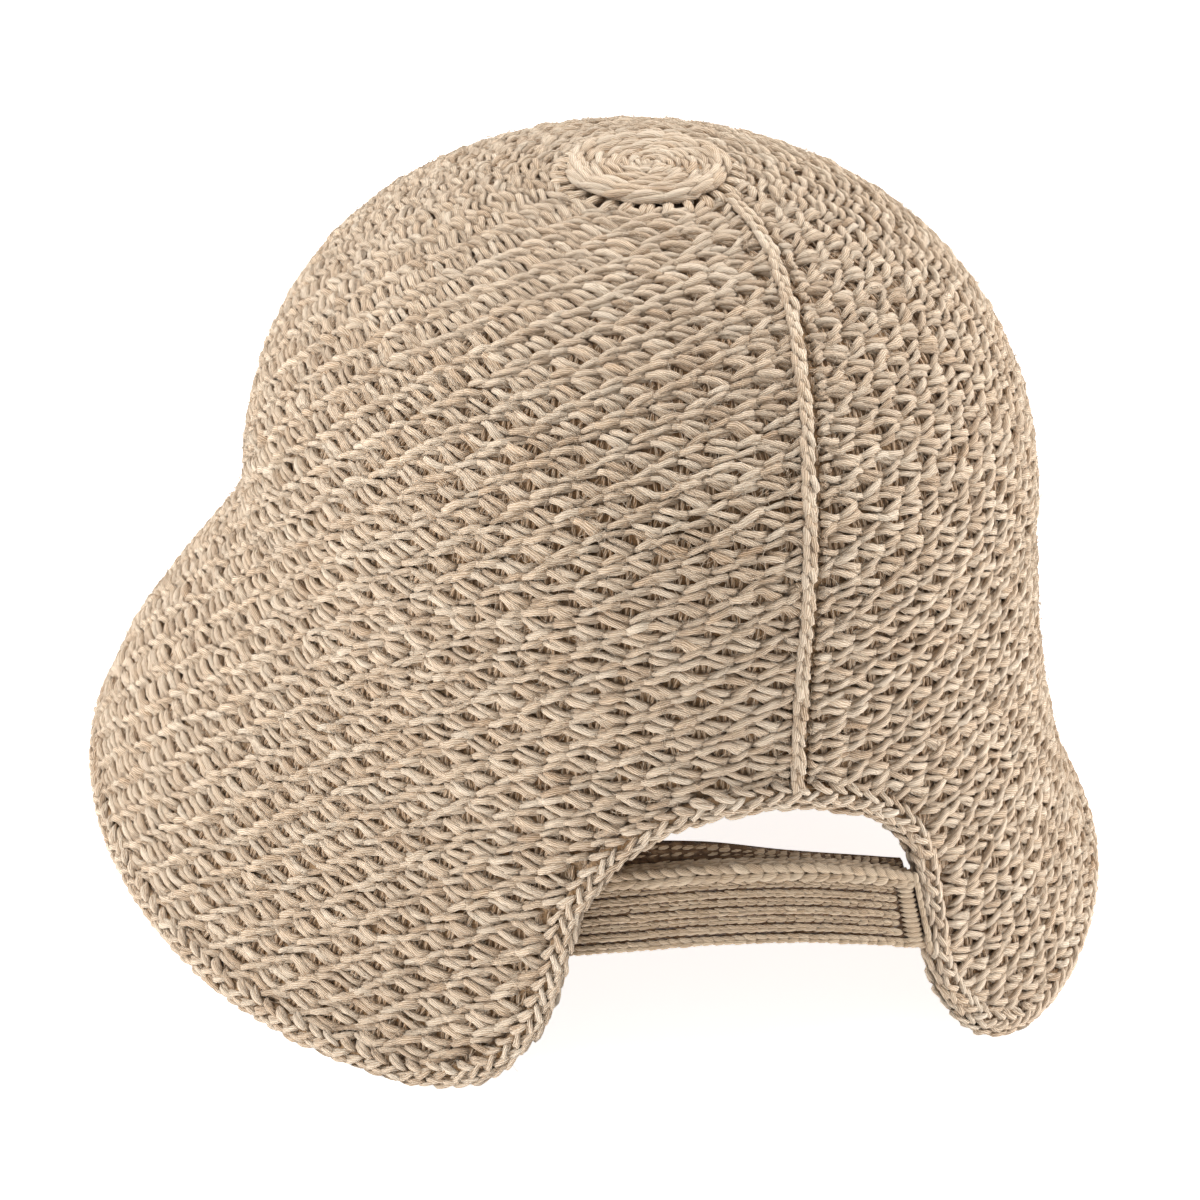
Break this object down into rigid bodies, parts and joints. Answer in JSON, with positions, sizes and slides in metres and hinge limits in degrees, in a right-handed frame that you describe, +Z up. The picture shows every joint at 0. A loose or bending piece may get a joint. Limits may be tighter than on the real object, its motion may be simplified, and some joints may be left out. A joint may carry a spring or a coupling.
{
  "type": "crocheted bucket hat",
  "caption": "Crocheted bucket hat with a domed crown, flared brim, worked border and an arched ponytail opening at the back closed by a ribbed strap.",
  "frame": {"origin": "middle of the hat's box, on the surface that its hem rests on", "axes": "+Z up, +Y to the back of the hat with the arch and the strap, +X to the wearer's left"},
  "size_m": [0.2329, 0.249, 0.1782],
  "materials": {
    "crochet_yarn": "matte wool blend, crocheted",
    "border_yarn": "matte wool blend, crocheted border",
    "strap_yarn": "matte wool blend, knitted rib"
  },
  "bodies": {
    "root": {"crown": "crochet_yarn", "crown_disc": "crochet_yarn", "brim": "crochet_yarn", "edging": "border_yarn", "strap": "strap_yarn"}
  },
  "joints": []
}
